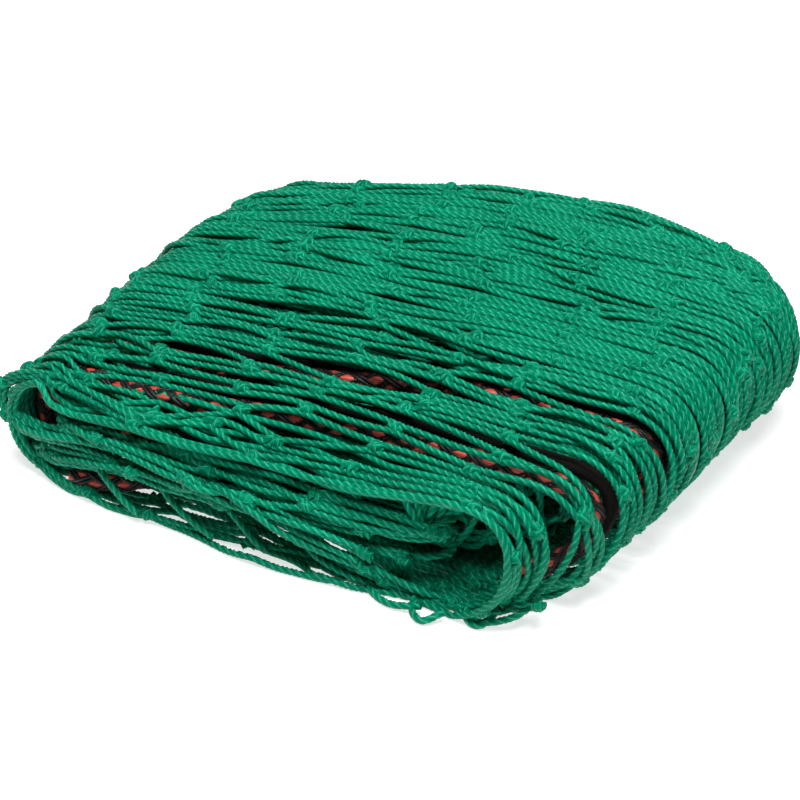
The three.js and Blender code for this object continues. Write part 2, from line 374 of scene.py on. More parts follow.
SAG_ACROSS = (0.080, 0.116)  # distances from the middle, towards the near edge, between which the sag grows
SAG_LEFT = (-0.128, -0.085)  # x between which it grows
SAG_RIGHT = (0.02, 0.095)  # and fades
PARTINGS = (-0.078, -0.035)  # places across where the strands of the right-hand fold part over a rope
PARTING = 0.0021
PARTING_CORE = 0.002  # distance from the rope at which strands are pushed aside
PARTING_REACH = 0.009
PARTING_STARTS = (-0.005, 0.02)  # along the net, from the end of its bottom layer
PARTING_ENDS = 0.06  # along the net, past the end of the fold
LOOSE = 0.0032  # knots near the near edge of the inner layers lie higher or lower by about this much
BOTTOM_STRAY = 0.1  # the bottom layer's unevenness, against that of the others


def pair_of(row, lanes):
    """Number of the knot that each lane passes through in a row: lanes 0 and 1, or 1 and 2, share one."""
    return (np.arange(lanes) + row % 2) // 2


def pair_mean(pair, values):
    return np.bincount(pair, values) / np.bincount(pair)


def steps_from_knot(stations):
    """How many stations away each station's nearest knot is."""
    half = BAR_STEPS // 2
    return np.abs((np.arange(stations) + half) % BAR_STEPS - half)


def lay_strands(lanes, pitch, length, slant, stray_of, loose):
    """Strands of a gathered net by station and lane: distance along, across and out of its surface, and by
    row the side of its knot on which each lane lies. stray_of: how uneven the strands of a row are. loose:
    how far the knots of a row lie out or in."""
    rows = int(length / BAR)
    even_y = (np.arange(lanes) + 0.5 - lanes / 2) * pitch
    knot_u, knot_y, knot_out, side = np.empty((4, rows + 1, lanes))
    for row in range(rows + 1):
        stray = stray_of(row)
        pair = pair_of(row, lanes)
        count = pair[-1] + 1
        mean_y = pair_mean(pair, even_y)
        y = mean_y + rng.normal(0, KNOT_STRAY_ACROSS * stray, count)
        wave = ROW_WAVE * np.sin(ROW_WAVE_ACROSS * mean_y + ROW_WAVE_TURN * row)
        u = row * BAR + slant * mean_y + wave + rng.normal(0, KNOT_STRAY_ALONG * stray, count)
        out = rng.uniform(0, KNOT_RISE, count) + rng.normal(0, 1, count) * loose(row, mean_y)
        knot_u[row] = u[pair]
        knot_y[row] = y[pair]
        knot_out[row] = out[pair]
        together = np.bincount(pair)[pair] == 2
        side[row] = np.where(together, np.sign(even_y - mean_y[pair]), 0)
    row_strays = np.array([stray_of(row) for row in range(rows)])
    bow_y = rng.normal(0, BOW_ACROSS, (rows, lanes)) * row_strays[:, None]
    bow_out = np.abs(rng.normal(0, BOW_OUT, (rows, lanes)))
    t = (np.arange(BAR_STEPS) / BAR_STEPS)[None, :, None]
    swell = np.sin(np.pi * t)

    def between(knots):
        bars = knots[:-1, None] * (1 - t) + knots[1:, None] * t
        return np.concatenate([bars.reshape(-1, lanes), knots[-1:]])

    u = between(knot_u)
    y = between(knot_y + side * KNOT_HALF)
    y[:-1] += (bow_y[:, None] * swell).reshape(-1, lanes)
    out = between(knot_out)
    out[:-1] += (bow_out[:, None] * swell).reshape(-1, lanes)
    return u, y, out, side


def shift_across(u, y):
    """How far strands stray from their even places: spread, fan, drift and bulging near edges."""
    share = np.clip(2 * y / WIDTH, -1, 1)
    inside = 1 - share**2
    x = middle_x(u)
    leftward = np.clip((FAN_START - x) / (FAN_START - SURFACE["x"].min()), 0, 1)
    fan = -FAN * ((1 + share) / 2) ** FAN_POWERS[0] * leftward ** FAN_POWERS[1]
    rounding = NEAR_ROUND * ((1 - share) / 2) ** ROUND_POWERS[0] * leftward ** ROUND_POWERS[1]
    drift = DRIFT * inside * np.sin(2 * np.pi * u / DRIFT_LENGTH)
    middles = (np.concatenate([[0], RUN_ENDS[1::2]]) + RUN_ENDS[0::2]) / 2
    bulge = np.interp(u, middles, LAYER_TABLE["bulge"])
    low = (u < RUN_ENDS[0]) | ((u > RUN_ENDS[2 * TOP + 1]) & (u < RUN_ENDS[2 * FIRST_INNER]))
    hollow = HOLLOW * low * eased(x, *HOLLOW_LEFT) * (1 - eased(x, *HOLLOW_RIGHT))
    shift = SPREAD * inside + fan + rounding + drift + (hollow - bulge) * near_edge(y)
    fold_start, fold_end = RUN_ENDS[:2]
    on_fold = eased(u, fold_start + PARTING_STARTS[0], fold_start + PARTING_STARTS[1])
    on_fold = on_fold * (1 - eased(u, fold_end, fold_end + PARTING_ENDS))
    for place in PARTINGS:
        beside = y + shift - place
        pushed = np.tanh(beside / PARTING_CORE)
        shift = shift + PARTING * on_fold * pushed * np.exp(-(beside / PARTING_REACH) ** 2)
    return shift


def near_edge(y):
    return np.exp(-np.clip(y + WIDTH / 2, 0, None) / BULGE_WIDTH)


SETTLE_ROUNDS = 60
NEIGHBOURS = 3  # strands to either side that a strand is kept apart from
SETTLED_GAP = TWINE * 1.03
KNOT_GAP = 0.7  # share of that gap beside a knot, where a strand meets the next
KNOT_GAP_STEPS = 2
PUSH = 0.35  # share of an overlap that one round takes away
EASE_ACROSS = 0.25  # share of a kink that one round takes away
EASE_OUT = 0.35
EASE_KNOT = 0.05
FLATTEN = 0.993  # share of its distance from the surface that a strand keeps in each round
LEAST_GAP = 1e-9  # keeps a gap of zero from dividing


def settle(y, out, side):
    """Pushes strands apart where they overlap and keeps them smooth, with the knots held together."""
    stations = len(y)
    from_knot = steps_from_knot(stations)
    rows = np.arange(0, stations, BAR_STEPS)
    for _ in range(SETTLE_ROUNDS):
        for step in range(1, NEIGHBOURS + 1):
            gap_y = y[:, step:] - y[:, :-step]
            gap_out = out[:, step:] - out[:, :-step]
            apart = np.hypot(gap_y, gap_out) + LEAST_GAP
            wanted = np.full_like(apart, SETTLED_GAP)
            if step == 1:
                wanted *= np.interp(from_knot, [0, KNOT_GAP_STEPS], [KNOT_GAP, 1])[:, None]
            push = np.clip(wanted - apart, 0, None) * PUSH
            move_y = push * gap_y / apart
            move_out = push * gap_out / apart
            y[:, step:] += move_y
            y[:, :-step] -= move_y
            out[:, step:] += move_out
            out[:, :-step] -= move_out
        free = from_knot[1:-1, None] > 0
        for values, ease in ((y, EASE_ACROSS), (out, EASE_OUT)):
            pull = (values[2:] + values[:-2]) / 2 - values[1:-1]
            values[1:-1] += np.where(free, ease, EASE_KNOT) * pull
        out *= FLATTEN
        for row, station in enumerate(rows):
            pair = pair_of(row, y.shape[1])
            y[station] = pair_mean(pair, y[station])[pair] + side[row] * KNOT_HALF
            out[station] = pair_mean(pair, out[station])[pair]


def inner_looseness(row, y):
    return LOOSE * near_edge(y) * (row * BAR > OUTER_LENGTH)


def sagged(points, u):
    """Near strands of the top hang lower between the left-hand loop and the right-hand fold."""
    x, y, z = np.moveaxis(points, -1, 0)
    on_top = (u > RUN_ENDS[1]) & (u < RUN_ENDS[2])
    across = eased(-y, *SAG_ACROSS)
    along = eased(x, *SAG_LEFT) * (1 - eased(x, *SAG_RIGHT))
    return np.stack([x, y, z - SAG * across * along * on_top], axis=-1)


def unevenness(row):
    """The bottom layer, which the rest presses on, lies more evenly."""
    return BOTTOM_STRAY if row * BAR < RUN_ENDS[0] else 1


lane_u, lane_y, lane_out, lane_side = lay_strands(
    LANES, PITCH, NET_LENGTH, SLANT, unevenness, inner_looseness
)
lane_y += shift_across(lane_u, lane_y)
settle(lane_y, lane_out, lane_side)
strands = np.swapaxes(sagged(on_net(lane_u, lane_y, lane_out), lane_u), 0, 1)


# The inner fold that shows at the near end: its strands come round the left-hand loop, gather into a wall
# along the near end and turn in again beside the hollow of the right-hand fold. Middle line, half the
# width of the strands, how far their middle stands out, and the way they lie across, in degrees.
WALL = {
    "x": (-0.055, -0.100, -0.124, -0.126, -0.110, -0.080, -0.030, 0.020, 0.050, 0.068, 0.0695, 0.058),
    "y": (-0.092, -0.091, -0.093, -0.097, -0.105, -0.108, -0.109, -0.106, -0.102, -0.098, -0.091, -0.080),
    "z": (0.0395, 0.0425, 0.036, 0.022, 0.0190, 0.023, 0.0270, 0.0285, 0.0250, 0.0235, 0.024, 0.025),
    "half": (0.020, 0.018, 0.0155, 0.013, 0.0095, 0.0085, 0.0090, 0.0095, 0.011, 0.009, 0.009, 0.009),
    "proud": (0.002, 0.002, 0.002, 0.003, 0.006, 0.008, 0.009, 0.009, 0.008, 0.007, 0.006, 0.005),
    "turn": (0, 0, -4, -20, -50, -75, -84, -84, -84, -84, -84, -84),
}
# The strands that lie on the floor along the near end, from the left-hand loop to the front corner
FOOT = {
    "x": (-0.116, -0.1275, -0.122, -0.106, -0.085, -0.050, -0.015, 0.020, 0.050, 0.075, 0.095, 0.112),
    "y": (-0.094, -0.098, -0.108, -0.116, -0.1205, -0.121,
          -0.1185, -0.114, -0.1105, -0.113, -0.109, -0.099),
    "z": (0.042, 0.029, 0.014, 0.0075, 0.0042, 0.0035, 0.0035, 0.0035, 0.0035, 0.0035, 0.0045, 0.012),
    "half": (0.007, 0.006, 0.005, 0.0045, 0.004, 0.004, 0.0045, 0.005, 0.006, 0.006, 0.006, 0.006),
    "proud": (0.001,) * 12,
    "turn": (0,) * 12,
}
# The strands between the wall and the floor, which run on over the floor of the hollow
SKIRT = {
    "x": (0.006, 0.018, 0.030, 0.044, 0.058, 0.073, 0.090, 0.108),
    "y": (-0.104, -0.1085, -0.1110, -0.110, -0.107, -0.103, -0.098, -0.093),
    "z": (0.0140, 0.012, 0.010, 0.0075, 0.0055, 0.005, 0.005, 0.010),
    "half": (0.004, 0.006, 0.008, 0.008, 0.009, 0.011, 0.012, 0.009),
    "proud": (0.001, 0.001, 0.001, 0.001, 0.0015, 0.003, 0.003, 0.002),
    "turn": (0, -20, -50, -60, -40, -10, 0, 0),
}
# Slacker strands that cross the wall from its upper left to its foot
CROSSING = {
    "x": (-0.108, -0.078, -0.040, -0.005, 0.030, 0.058),
    "y": (-0.107, -0.114, -0.1185, -0.1195, -0.1165, -0.109),
    "z": (0.027, 0.029, 0.0285, 0.026, 0.020, 0.011),
    "half": (0.004, 0.005, 0.006, 0.006, 0.006, 0.004),
    "proud": (0.001,) * 6,
    "turn": (-60, -80, -84, -84, -80, -70),
}
# Strands on the floor behind the foot, apart from each other
BEHIND = {
    "x": (-0.090, -0.075, -0.058, -0.040, -0.020, 0.0, 0.020, 0.045),
    "y": (-0.108, -0.1095, -0.1085, -0.105, -0.1045, -0.1055, -0.1075, -0.108),
    "z": (0.003,) * 8,
    "half": (0.003, 0.004, 0.0055, 0.006, 0.006, 0.006, 0.005, 0.004),
    "proud": (0.001,) * 8,
    "turn": (0,) * 8,
}
PATCHES = (  # table, strands, pitch, unevenness, and how far the knots lie out or in
    (WALL, 13, 0.0032, 2.2, 0.0020),
    (FOOT, 3, 0.0028, 1.5, 0.0010),
    (SKIRT, 7, 0.0032, 2.0, 0.0010),
    (CROSSING, 4, 0.0040, 1.5, 0.0010),
    (BEHIND, 3, 0.0040, 1.5, 0.0005),
)
PATCH_GRID = 240
PATCH_ARC = 0.45  # the arc from a patch's middle to its edge, in half turns
PATCH_REACH = 1.15  # strands may stray past the edge, to this share of the width
FLOOR_REST = 0.55  # least height of a strand's middle, in twines
KNOT_ROOM = 0.5  # and how much more at a knot
KNOT_ROOM_STEPS = 1.2  # stations over which that fades


def patch_surface(table):
    rows = np.arange(len(table["x"]))
    at = np.linspace(0, rows[-1], PATCH_GRID)
    column = {name: smooth(at, rows, values) for name, values in table.items()}
    line = np.stack([column["x"], column["y"], column["z"]], axis=-1)
    turn = np.radians(column["turn"])
    along = unit(np.gradient(line, axis=0))
    across = np.stack([0 * turn, np.cos(turn), np.sin(turn)], axis=-1)
    across = square_to(across, along)
    return {
        "length": arc_length(line[None])[0], "line": line,
        "across": across, "out": np.cross(across, along),
        "half": column["half"], "proud": column["proud"],
    }


def on_patch(surface, u, share, out):
    """Points at distance u along a patch, at a share from -1 to 1 of its width, and out from it."""
    def read(name):
        columns = surface[name].reshape(PATCH_GRID, -1).T
        return np.stack([np.interp(u, surface["length"], column) for column in columns], axis=-1)

    angle = (share * PATCH_ARC * np.pi)[..., None]
    sideways = read("half") * np.sin(angle)
    outward = read("proud") * np.cos(angle) + out[..., None]
    return read("line") + read("across") * sideways + read("out") * outward


def patch_strands(table, lanes, pitch, stray, loose):
    surface = patch_surface(table)
    length = surface["length"][-1]
    u, y, out, side = lay_strands(lanes, pitch, length, 0, lambda row: stray, lambda row, y: loose)
    settle(y, out, side)
    share = np.clip(2 * y / (lanes * pitch), -PATCH_REACH, PATCH_REACH)
    return np.swapaxes(on_patch(surface, u, share, out), 0, 1)


def off_floor(points):
    """Lifts strands and the places of knots clear of the floor."""
    from_knot = steps_from_knot(points.shape[1])
    least = TWINE * (FLOOR_REST + KNOT_ROOM * np.exp(-(from_knot / KNOT_ROOM_STEPS) ** 2))
    points[:, :, 2] = np.maximum(points[:, :, 2], least[None, :])


patches = [patch_strands(*row) for row in PATCHES]
for paths in (strands, *patches):
    off_floor(paths)


# Meshes from sweeps

FLOOR_CLEARANCE = 0.0002
MAP_STEP = 40  # keeps the strand maps of two paths apart
STRIP_MARGIN = 0.06  # free part of a path's strip in the bake map, at each side
END_MARGIN = 0.005  # and at each end
CAP_PLACE = 0.002  # where the end caps lie in the bake map


def refine(points, factor):
    """Adds places along each path, on a smooth curve through its points."""
    count, stations, _ = points.shape
    first = 2 * points[:, :1] - points[:, 1:2]
    last = 2 * points[:, -1:] - points[:, -2:-1]
    padded = np.concatenate([first, points, last], axis=1)[:, :, None]
    before, start, end, after = (padded[:, k:k + stations - 1] for k in range(4))
    t = (np.arange(factor) / factor)[:, None]
    curve = 0.5 * (
        2 * start
        + (end - before) * t
        + (2 * before - 5 * start + 4 * end - after) * t**2
        + (3 * start - before - 3 * end + after) * t**3
    )
    return np.concatenate([curve.reshape(count, -1, 3), points[:, -1:]], axis=1)


def frames_along(points, first_side):
    """Two side directions that don't twist, for paths of shape (count, stations, 3)."""
    tangent = unit(np.gradient(points, axis=1))
    side = np.empty_like(points)
    current = np.broadcast_to(np.asarray(first_side, float), points[:, 0].shape)
    for k in range(points.shape[1]):
        current = square_to(current, tangent[:, k])
        side[:, k] = current
    return side, np.cross(tangent, side)


def map_places(first, second):
    """Map coordinates of the corners of quads, a row each."""
    return np.stack(np.broadcast_arrays(first, second), axis=-1).reshape(-1, 2)


def sweep(points, ring, lay, first_side=(0, 1, 0), phase=None, twist=1, swell=1, spiral=0):
    """Closed tubes along paths. ring: (angle, radius) of each corner of the section, which makes twist
    turns in the length lay. swell multiplies the radius, for each path, station and corner. spiral: turns
    in the length lay that only the strand map makes. Returns corners, quads, end caps and two sets of map
    coordinates."""
    count, stations, _ = points.shape
    sides = len(ring)
    ring_angle, ring_radius = np.transpose(ring)
    side, up = frames_along(points, first_side)
    length = arc_length(points)
    turn = 2 * np.pi * twist * length / lay
    if phase is not None:
        turn = turn + phase[:, None]
    angle = turn[:, :, None] + ring_angle
    radius = ring_radius * swell
    corners = (
        points[:, :, None]
        + (radius * np.cos(angle))[..., None] * side[:, :, None]
        + (radius * np.sin(angle))[..., None] * up[:, :, None]
    )
    number = np.arange(count * stations * sides).reshape(count, stations, sides)
    following = np.roll(number, -1, axis=2)
    quads = np.stack([number[:, :-1], following[:, :-1], following[:, 1:], number[:, 1:]], axis=-1)
    caps = np.concatenate([number[:, 0, ::-1], number[:, -1]])
    path = np.arange(count)[:, None, None, None]
    station = np.arange(stations - 1)[:, None, None] + [0, 0, 1, 1]
    around = (np.arange(sides)[:, None] + [0, 1, 1, 0]) / sides
    laid = length[path, station] / lay
    strand_map = map_places(around - spiral * laid, laid + MAP_STEP * path)
    strip = (path + STRIP_MARGIN + (1 - 2 * STRIP_MARGIN) * around) / count
    share = END_MARGIN + (1 - 2 * END_MARGIN) * station / (stations - 1)
    return corners.reshape(-1, 3), quads.reshape(-1, 4), caps, strand_map, map_places(strip, share)


def mesh_object(name, sweeps, material):
    """One object from several sweeps, which share the bake map side by side."""
    mesh = bpy.data.meshes.new(name)
    corners = np.concatenate([part[0] for part in sweeps])
    corners[:, 2] = np.maximum(corners[:, 2], FLOOR_CLEARANCE)
    offsets = np.cumsum([0] + [len(part[0]) for part in sweeps[:-1]])
    loops = []
    sizes = []
    strand_maps = []
    bake_maps = []
    weights = np.array([len(part[1]) for part in sweeps], float)
    lefts = np.concatenate([[0], np.cumsum(weights)]) / weights.sum()
    for k, (offset, part) in enumerate(zip(offsets, sweeps)):
        _, quads, caps, strand_map, bake_map = part
        loops += [(quads + offset).ravel(), (caps + offset).ravel()]
        sizes += [np.full(len(quads), 4), np.full(len(caps), caps.shape[1])]
        bake_map = bake_map * [lefts[k + 1] - lefts[k], 1] + [lefts[k], 0]
        strand_maps += [strand_map, np.zeros((caps.size, 2))]
        bake_maps += [bake_map, np.full((caps.size, 2), CAP_PLACE)]
    loops = np.concatenate(loops)
    sizes = np.concatenate(sizes)
    mesh.vertices.add(len(corners))
    mesh.vertices.foreach_set("co", corners.astype(np.float32).ravel())
    mesh.loops.add(len(loops))
    mesh.loops.foreach_set("vertex_index", loops.astype(np.int32))
    mesh.polygons.add(len(sizes))
    starts = np.concatenate([[0], np.cumsum(sizes)[:-1]])
    mesh.polygons.foreach_set("loop_start", starts.astype(np.int32))
    mesh.polygons.foreach_set("use_smooth", np.ones(len(sizes), bool))
    mesh.update(calc_edges=True)
    for map_name, places in (("strand", strand_maps), ("OFBake", bake_maps)):
        layer = mesh.uv_layers.new(name=map_name)
        layer.uv.foreach_set("vector", np.concatenate(places).astype(np.float32).ravel())
    mesh.materials.append(material)
    mesh.validate()
    piece = bpy.data.objects.new(name, mesh)
    bpy.context.collection.objects.link(piece)
    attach(piece, "root")
    return piece


def ply_ring(radius, places):
    """Section of a twine. places: (degrees, share of the radius) of each ply's corners."""
    return [
        (math.radians(360 / PLIES * ply + degrees), radius * share)
        for ply in range(PLIES)
        for degrees, share in places
    ]


DRAWN = 0.50 * TWINE  # a twine's radius at the crests of its plies
FINE_RING = ply_ring(DRAWN, ((-60, 0.78), (-25, 0.98), (25, 0.98)))
PLAIN_RING = ply_ring(DRAWN, ((-60, 0.76), (0, 1.0)))


def round_ring(diameter, sides):
    return [(2 * np.pi * k / sides, diameter / 2) for k in range(sides)]


HIDDEN_RING = round_ring(0.94 * TWINE, 4)


# Materials

# Painted light on the twine: the crest tone is a painted highlight along each ply, the valley tone is
# painted shade between the plies, and the side tone is the twine's own green
TWINE_PAINTED_HIGHLIGHT = (0.042, 0.41, 0.252)
TWINE_SIDE = (0.0, 0.200, 0.101)
TWINE_PAINTED_SHADE = (0.0, 0.115, 0.056)
PLY_PAINTED_LIGHT_AND_SHADE = (  # across a ply, from one valley to the next: painted shade in the valleys, the twine's own green on the sides and a painted highlight at the crest
    (0.0, TWINE_PAINTED_SHADE), (0.16, TWINE_SIDE), (0.40, TWINE_SIDE), (0.5, TWINE_PAINTED_HIGHLIGHT),
    (0.60, TWINE_SIDE), (0.84, TWINE_SIDE), (1.0, TWINE_PAINTED_SHADE),
)
FILAMENTS = {"scale": (36, 2.2, 1), "detail": 2}  # round the twine, and along it in turns of its lay
CLOUDS = {"scale": (0.3, 0.35, 1), "detail": 1}
FILAMENT_SHARE = 0.55
CLOUD_SHARE = 0.4
TWINE_RELIEF = 0.5
TWINE_ROUGHNESS = 0.23
TWINE_SHINE = 0.20
SHEEN_TINT = (0.10, 1.0, 0.75, 1)
RELIEF_DEPTH = 0.0003


def new_material(name):
    material = bpy.data.materials.new(name)
    material.use_nodes = True
    return material, material.node_tree, material.node_tree.nodes["Principled BSDF"]


def set_inputs(tree, node, inputs):
    """Sets the inputs of a shader node, or links those that are given as outputs of another."""
    for name, value in inputs.items():
        if isinstance(value, bpy.types.NodeSocket):
            tree.links.new(value, node.inputs[name])
        else:
            node.inputs[name].default_value = value


def add_node(tree, kind, inputs, **settings):
    """Adds a shader node and returns its outputs."""
    node = tree.nodes.new("ShaderNode" + kind)
    for name, value in settings.items():
        setattr(node, name, value)
    set_inputs(tree, node, inputs)
    return node.outputs


def ramp_between(tree, factor, stops):
    """The colour of a ramp with stops of (place, colour)."""
    node = tree.nodes.new("ShaderNodeValToRGB")
    set_inputs(tree, node, {"Fac": factor})
    elements = node.color_ramp.elements
    while len(elements) < len(stops):
        elements.new(0.5)
    for element, (place, colour) in zip(elements, stops):
        element.position = place
        element.color = (*colour, 1)
    return node.outputs["Color"]


def strand_place(tree):
    return add_node(tree, "UVMap", {}, uv_map="strand")["UV"]


def stretched_noise(tree, place, scale, detail):
    stretched = add_node(tree, "Mapping", {"Vector": place, "Scale": scale})["Vector"]
    return add_node(tree, "TexNoise", {"Vector": stretched, "Scale": 1, "Detail": detail})["Fac"]


def relief(tree, height, strength):
    bump = {"Height": height, "Strength": strength, "Distance": RELIEF_DEPTH}
    return add_node(tree, "Bump", bump)["Normal"]


def green_twine():
    """Polyethylene twine: plies with a painted highlight at the crest and painted shade between, whose fine
    filaments run along the twine, with slow changes of tone."""
    material, tree, shader = new_material("green_twine")
    place = add_node(tree, "SeparateXYZ", {"Vector": strand_place(tree)})
    angle = add_node(tree, "Math", {0: place["X"], 1: place["Y"]}, operation="ADD")["Value"]
    untwisted = add_node(tree, "CombineXYZ", {"X": angle, "Y": place["Y"]})["Vector"]
    plies = add_node(tree, "Math", {0: place["X"], 1: PLIES}, operation="MULTIPLY")["Value"]
    ply = add_node(tree, "Math", {0: plies}, operation="FRACT")["Value"]
    filaments = stretched_noise(tree, untwisted, **FILAMENTS)
    clouds = stretched_noise(tree, untwisted, **CLOUDS)
    # painted highlight at each ply's crest and painted shade in its valleys, over the twine's own green
    colour = ramp_between(tree, ply, PLY_PAINTED_LIGHT_AND_SHADE)
    for noise, share in ((filaments, FILAMENT_SHARE), (clouds, CLOUD_SHARE)):
        layers = {"Factor": share, "A": colour, "B": noise}
        colour = add_node(tree, "Mix", layers, data_type="RGBA", blend_type="OVERLAY")["Result"]
    set_inputs(tree, shader, {
        "Base Color": colour,
        "Normal": relief(tree, filaments, TWINE_RELIEF),
        "Roughness": TWINE_ROUGHNESS,
        "Specular IOR Level": TWINE_SHINE,
        "Specular Tint": SHEEN_TINT,
    })
    return material


GREEN = green_twine()


# The net's strands

EDGE_LANES = 6  # near lanes whose inner layers are gathered into the wall
NEAR_LANES = 11  # near lanes that show at the near end
FAR_LANES = 2
FINE = 3  # steps of a shown strand for each of its stations
FAR_FINE = 2
HIDDEN_EVERY = 4  # stations to a step of a hidden strand
SECOND_RUN = 6  # the layer under the top, which shows between the top's strands
phases = rng.uniform(0, 2 * np.pi, LANES)


def distance_of(stations):
    """Distance along the net of its stations."""
    return stations * BAR / BAR_STEPS


def station_at(length):
    """The station of the last row of knots before a distance along the net."""
    return int(length / BAR) * BAR_STEPS


def strand_sweep(lanes, first, last, ring, factor=1, every=1):
    points = strands[lanes, first:last + 1:every]
    if factor > 1:
        points = refine(points, factor)
    return sweep(points, ring, LAY, phase=phases[lanes])


def fine_sweep(paths):
    return sweep(refine(paths, FINE), FINE_RING, LAY, phase=rng.uniform(0, 2 * np.pi, len(paths)))


# Single bars that show at the near end: three from the wall down to the floor, and three slack loops
LOOSE_BARS = (
    ((-0.078, -0.117, 0.022), (-0.071, -0.119, 0.0165), (-0.062, -0.120, 0.0095), (-0.054, -0.120, 0.0045)),
    ((-0.048, -0.115, 0.020), (-0.040, -0.117, 0.014), (-0.030, -0.118, 0.0085), (-0.019, -0.1185, 0.0045)),
    ((-0.014, -0.114, 0.016), (-0.008, -0.115, 0.0120), (-0.002, -0.116, 0.0080), (0.004, -0.116, 0.0045)),
    ((0.041, -0.106, 0.004), (0.050, -0.1145, 0.002), (0.061, -0.1185, 0.002), (0.073, -0.1165, 0.004)),
    ((0.068, -0.113, 0.004), (0.071, -0.119, 0.002), (0.077, -0.1215, 0.002), (0.082, -0.116, 0.004)),
    ((0.088, -0.109, 0.004), (0.091, -0.1130, 0.002), (0.0965, -0.1130, 0.002), (0.100, -0.106, 0.006)),
)

# Bars that rise from the end of the wall and fan out under the top: first and last of each point
FAN_BARS = (
    ((0.063, -0.1040, 0.024), (0.0640, -0.0940, 0.026)),
    ((0.066, -0.1055, 0.029), (0.0680, -0.0950, 0.030)),
    ((0.063, -0.1060, 0.034), (0.0740, -0.0960, 0.035)),
    ((0.058, -0.1020, 0.039), (0.0820, -0.0960, 0.040)),
    ((0.052, -0.0930, 0.043), (0.0890, -0.0910, 0.045)),
)
FAN_COUNT = 7
FAN_STRAY = 0.0008


def fan_bars():
    share = np.linspace(0, 1, FAN_COUNT)[:, None, None]
    first, last = np.moveaxis(np.asarray(FAN_BARS), 1, 0)
    bars = first + (last - first) * share
    return bars + rng.normal(0, FAN_STRAY, bars.shape)


BACKED_LAYERS = (4, 5, 6, 7)  # inner layers whose near lanes show between the strands of the wall
BACKING_END = 0.040


def backing(layer):
    """The near lanes of an inner layer, from its left-hand fold to where the wall turns in."""
    u = distance_of(np.arange(strands.shape[1]))
    start, end = RUN_ENDS[2 * layer - 1:2 * layer + 1]
    behind = np.flatnonzero((u > start) & (u < end) & (middle_x(u) < BACKING_END))
    return strand_sweep(edge_lanes, behind[0], behind[-1], PLAIN_RING)


# A second course of strands between those of the outer turn: on the floor behind the wall, along the near
# edge, and in the part of the top and the folds under which no cord runs
COURSE_RING = round_ring(0.98 * TWINE, 5)
FLOOR_START = -0.05
FLOOR_PAST = 2  # stations by which the courses on the floor run on up the fold
FLOOR_COURSE = np.arange(3, 26)  # lanes beside which the course lies
PARTED_COURSE = np.arange(6, 13)  # lanes that part on the floor
PARTED_SHARES = (0.25, 0.75)
EDGE_COURSE = np.arange(0, 4)
EDGE_START = 0.035
TOP_COURSE = np.arange(22, LANES - 1)
EDGE_DEPTH = 0.0013
TOP_DEPTH = 0.0009


def second_course(lanes, first, last, depth, share=0.5):
    u = distance_of(np.arange(first, last + 1)[:, None])
    near = slice(first, last + 1), lanes
    far = slice(first, last + 1), lanes + 1
    y = lane_y[near] + (lane_y[far] - lane_y[near]) * share
    out = lane_out[near] + (lane_out[far] - lane_out[near]) * share - depth
    course = np.swapaxes(sagged(on_net(u + 0 * y, y, out), u), 0, 1)
    off_floor(course)
    return sweep(course, COURSE_RING, LAY, twist=0, spiral=1)


def second_courses():
    u = distance_of(np.arange(outer_end + 1))
    x = middle_x(u)
    on_bottom = u < RUN_ENDS[0]
    floor_first = np.flatnonzero(on_bottom & (x > FLOOR_START))[0]
    edge_first = np.flatnonzero(on_bottom & (x > EDGE_START))[0]
    floor_last = np.flatnonzero(on_bottom)[-1] + FLOOR_PAST
    return [
        second_course(FLOOR_COURSE, floor_first, floor_last, 0),
        *[second_course(PARTED_COURSE, floor_first, floor_last, 0, share) for share in PARTED_SHARES],
        second_course(EDGE_COURSE, edge_first, outer_end, EDGE_DEPTH),
        second_course(TOP_COURSE, right_start, outer_end, TOP_DEPTH),
    ]


outer_end = station_at(OUTER_LENGTH) + BAR_STEPS
right_start = station_at(RUN_ENDS[0])
first_inner_end = station_at(RUN_ENDS[2 * FIRST_INNER]) - BAR_STEPS
second_start = station_at(RUN_ENDS[SECOND_RUN - 1])
second_end = station_at(RUN_ENDS[SECOND_RUN]) + BAR_STEPS
last_station = strands.shape[1] - 1
all_lanes = np.arange(LANES)
edge_lanes, near_lanes, middle_lanes, far_lanes = np.split(
    all_lanes, (EDGE_LANES, NEAR_LANES, LANES - FAR_LANES)
)


def add_net(name, sweeps):
    mesh_object(name, sweeps, GREEN)
    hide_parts("net")


for name, lanes in zip(("net_outer_near", "net_outer_far"), np.split(all_lanes, 2)):
    under = strand_sweep(lanes, 0, right_start, PLAIN_RING)
    over = strand_sweep(lanes, right_start, outer_end, FINE_RING, FINE)
    add_net(name, [under, over])
add_net("net_inner_ends", [
    strand_sweep(edge_lanes, outer_end, first_inner_end, PLAIN_RING, FINE),
    strand_sweep(near_lanes, outer_end, last_station, PLAIN_RING, FINE),
    strand_sweep(far_lanes, outer_end, last_station, PLAIN_RING, FAR_FINE),
    *[backing(layer) for layer in BACKED_LAYERS],
])
add_net("net_inner", [
    strand_sweep(middle_lanes, outer_end, second_start, HIDDEN_RING, every=HIDDEN_EVERY),
    strand_sweep(middle_lanes, second_start, second_end, PLAIN_RING),
    strand_sweep(middle_lanes, second_end, last_station, HIDDEN_RING, every=HIDDEN_EVERY),
    *second_courses(),
])
add_net("net_wall", [fine_sweep(patch) for patch in patches])
loose = refine(np.asarray(LOOSE_BARS), BAR_STEPS // 2)
fan = refine(fan_bars(), BAR_STEPS // 2)
add_net("net_loose_bars", [fine_sweep(loose), fine_sweep(fan)])


# Knots: each is drawn tight round its two strands into a lump, on which three turns of twine show as
# ridges, two of them side by side and one across them

